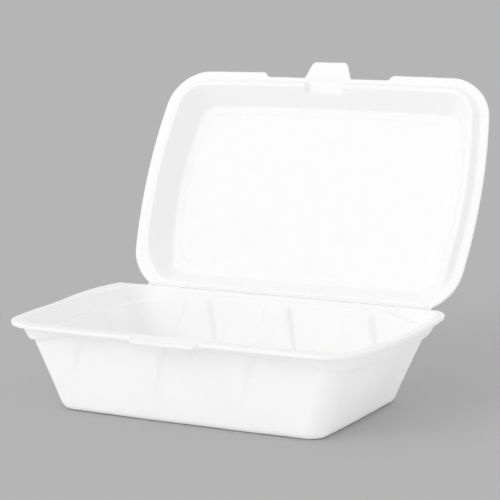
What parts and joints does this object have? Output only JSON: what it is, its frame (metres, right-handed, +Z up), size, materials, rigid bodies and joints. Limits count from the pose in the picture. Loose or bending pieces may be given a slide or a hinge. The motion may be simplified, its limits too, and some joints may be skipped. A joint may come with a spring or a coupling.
{
  "type": "foam clamshell container",
  "caption": "White foam takeaway box: a deep tray with ribbed walls and a stepped rim, and a shallow hinged lid with a lock tab that meets a catch lip.",
  "frame": {"origin": "middle of the tray's underside, on the surface that the box stands on", "axes": "+Z up, -Y to the front where the lock tab closes, X along the hinge crease"},
  "size_m": [0.24, 0.2318, 0.2017],
  "materials": {
    "foam": "matte white foam"
  },
  "bodies": {
    "tray": {"tray": "foam"},
    "lid": {"lid": "foam"}
  },
  "joints": [
    {"name": "lid_hinge", "type": "hinge", "parent": "tray", "child": "lid", "pos_m": [0, 0.0765, 0.05515], "axis": [-1, 0, 0], "range_deg": [-115, 65]}
  ]
}
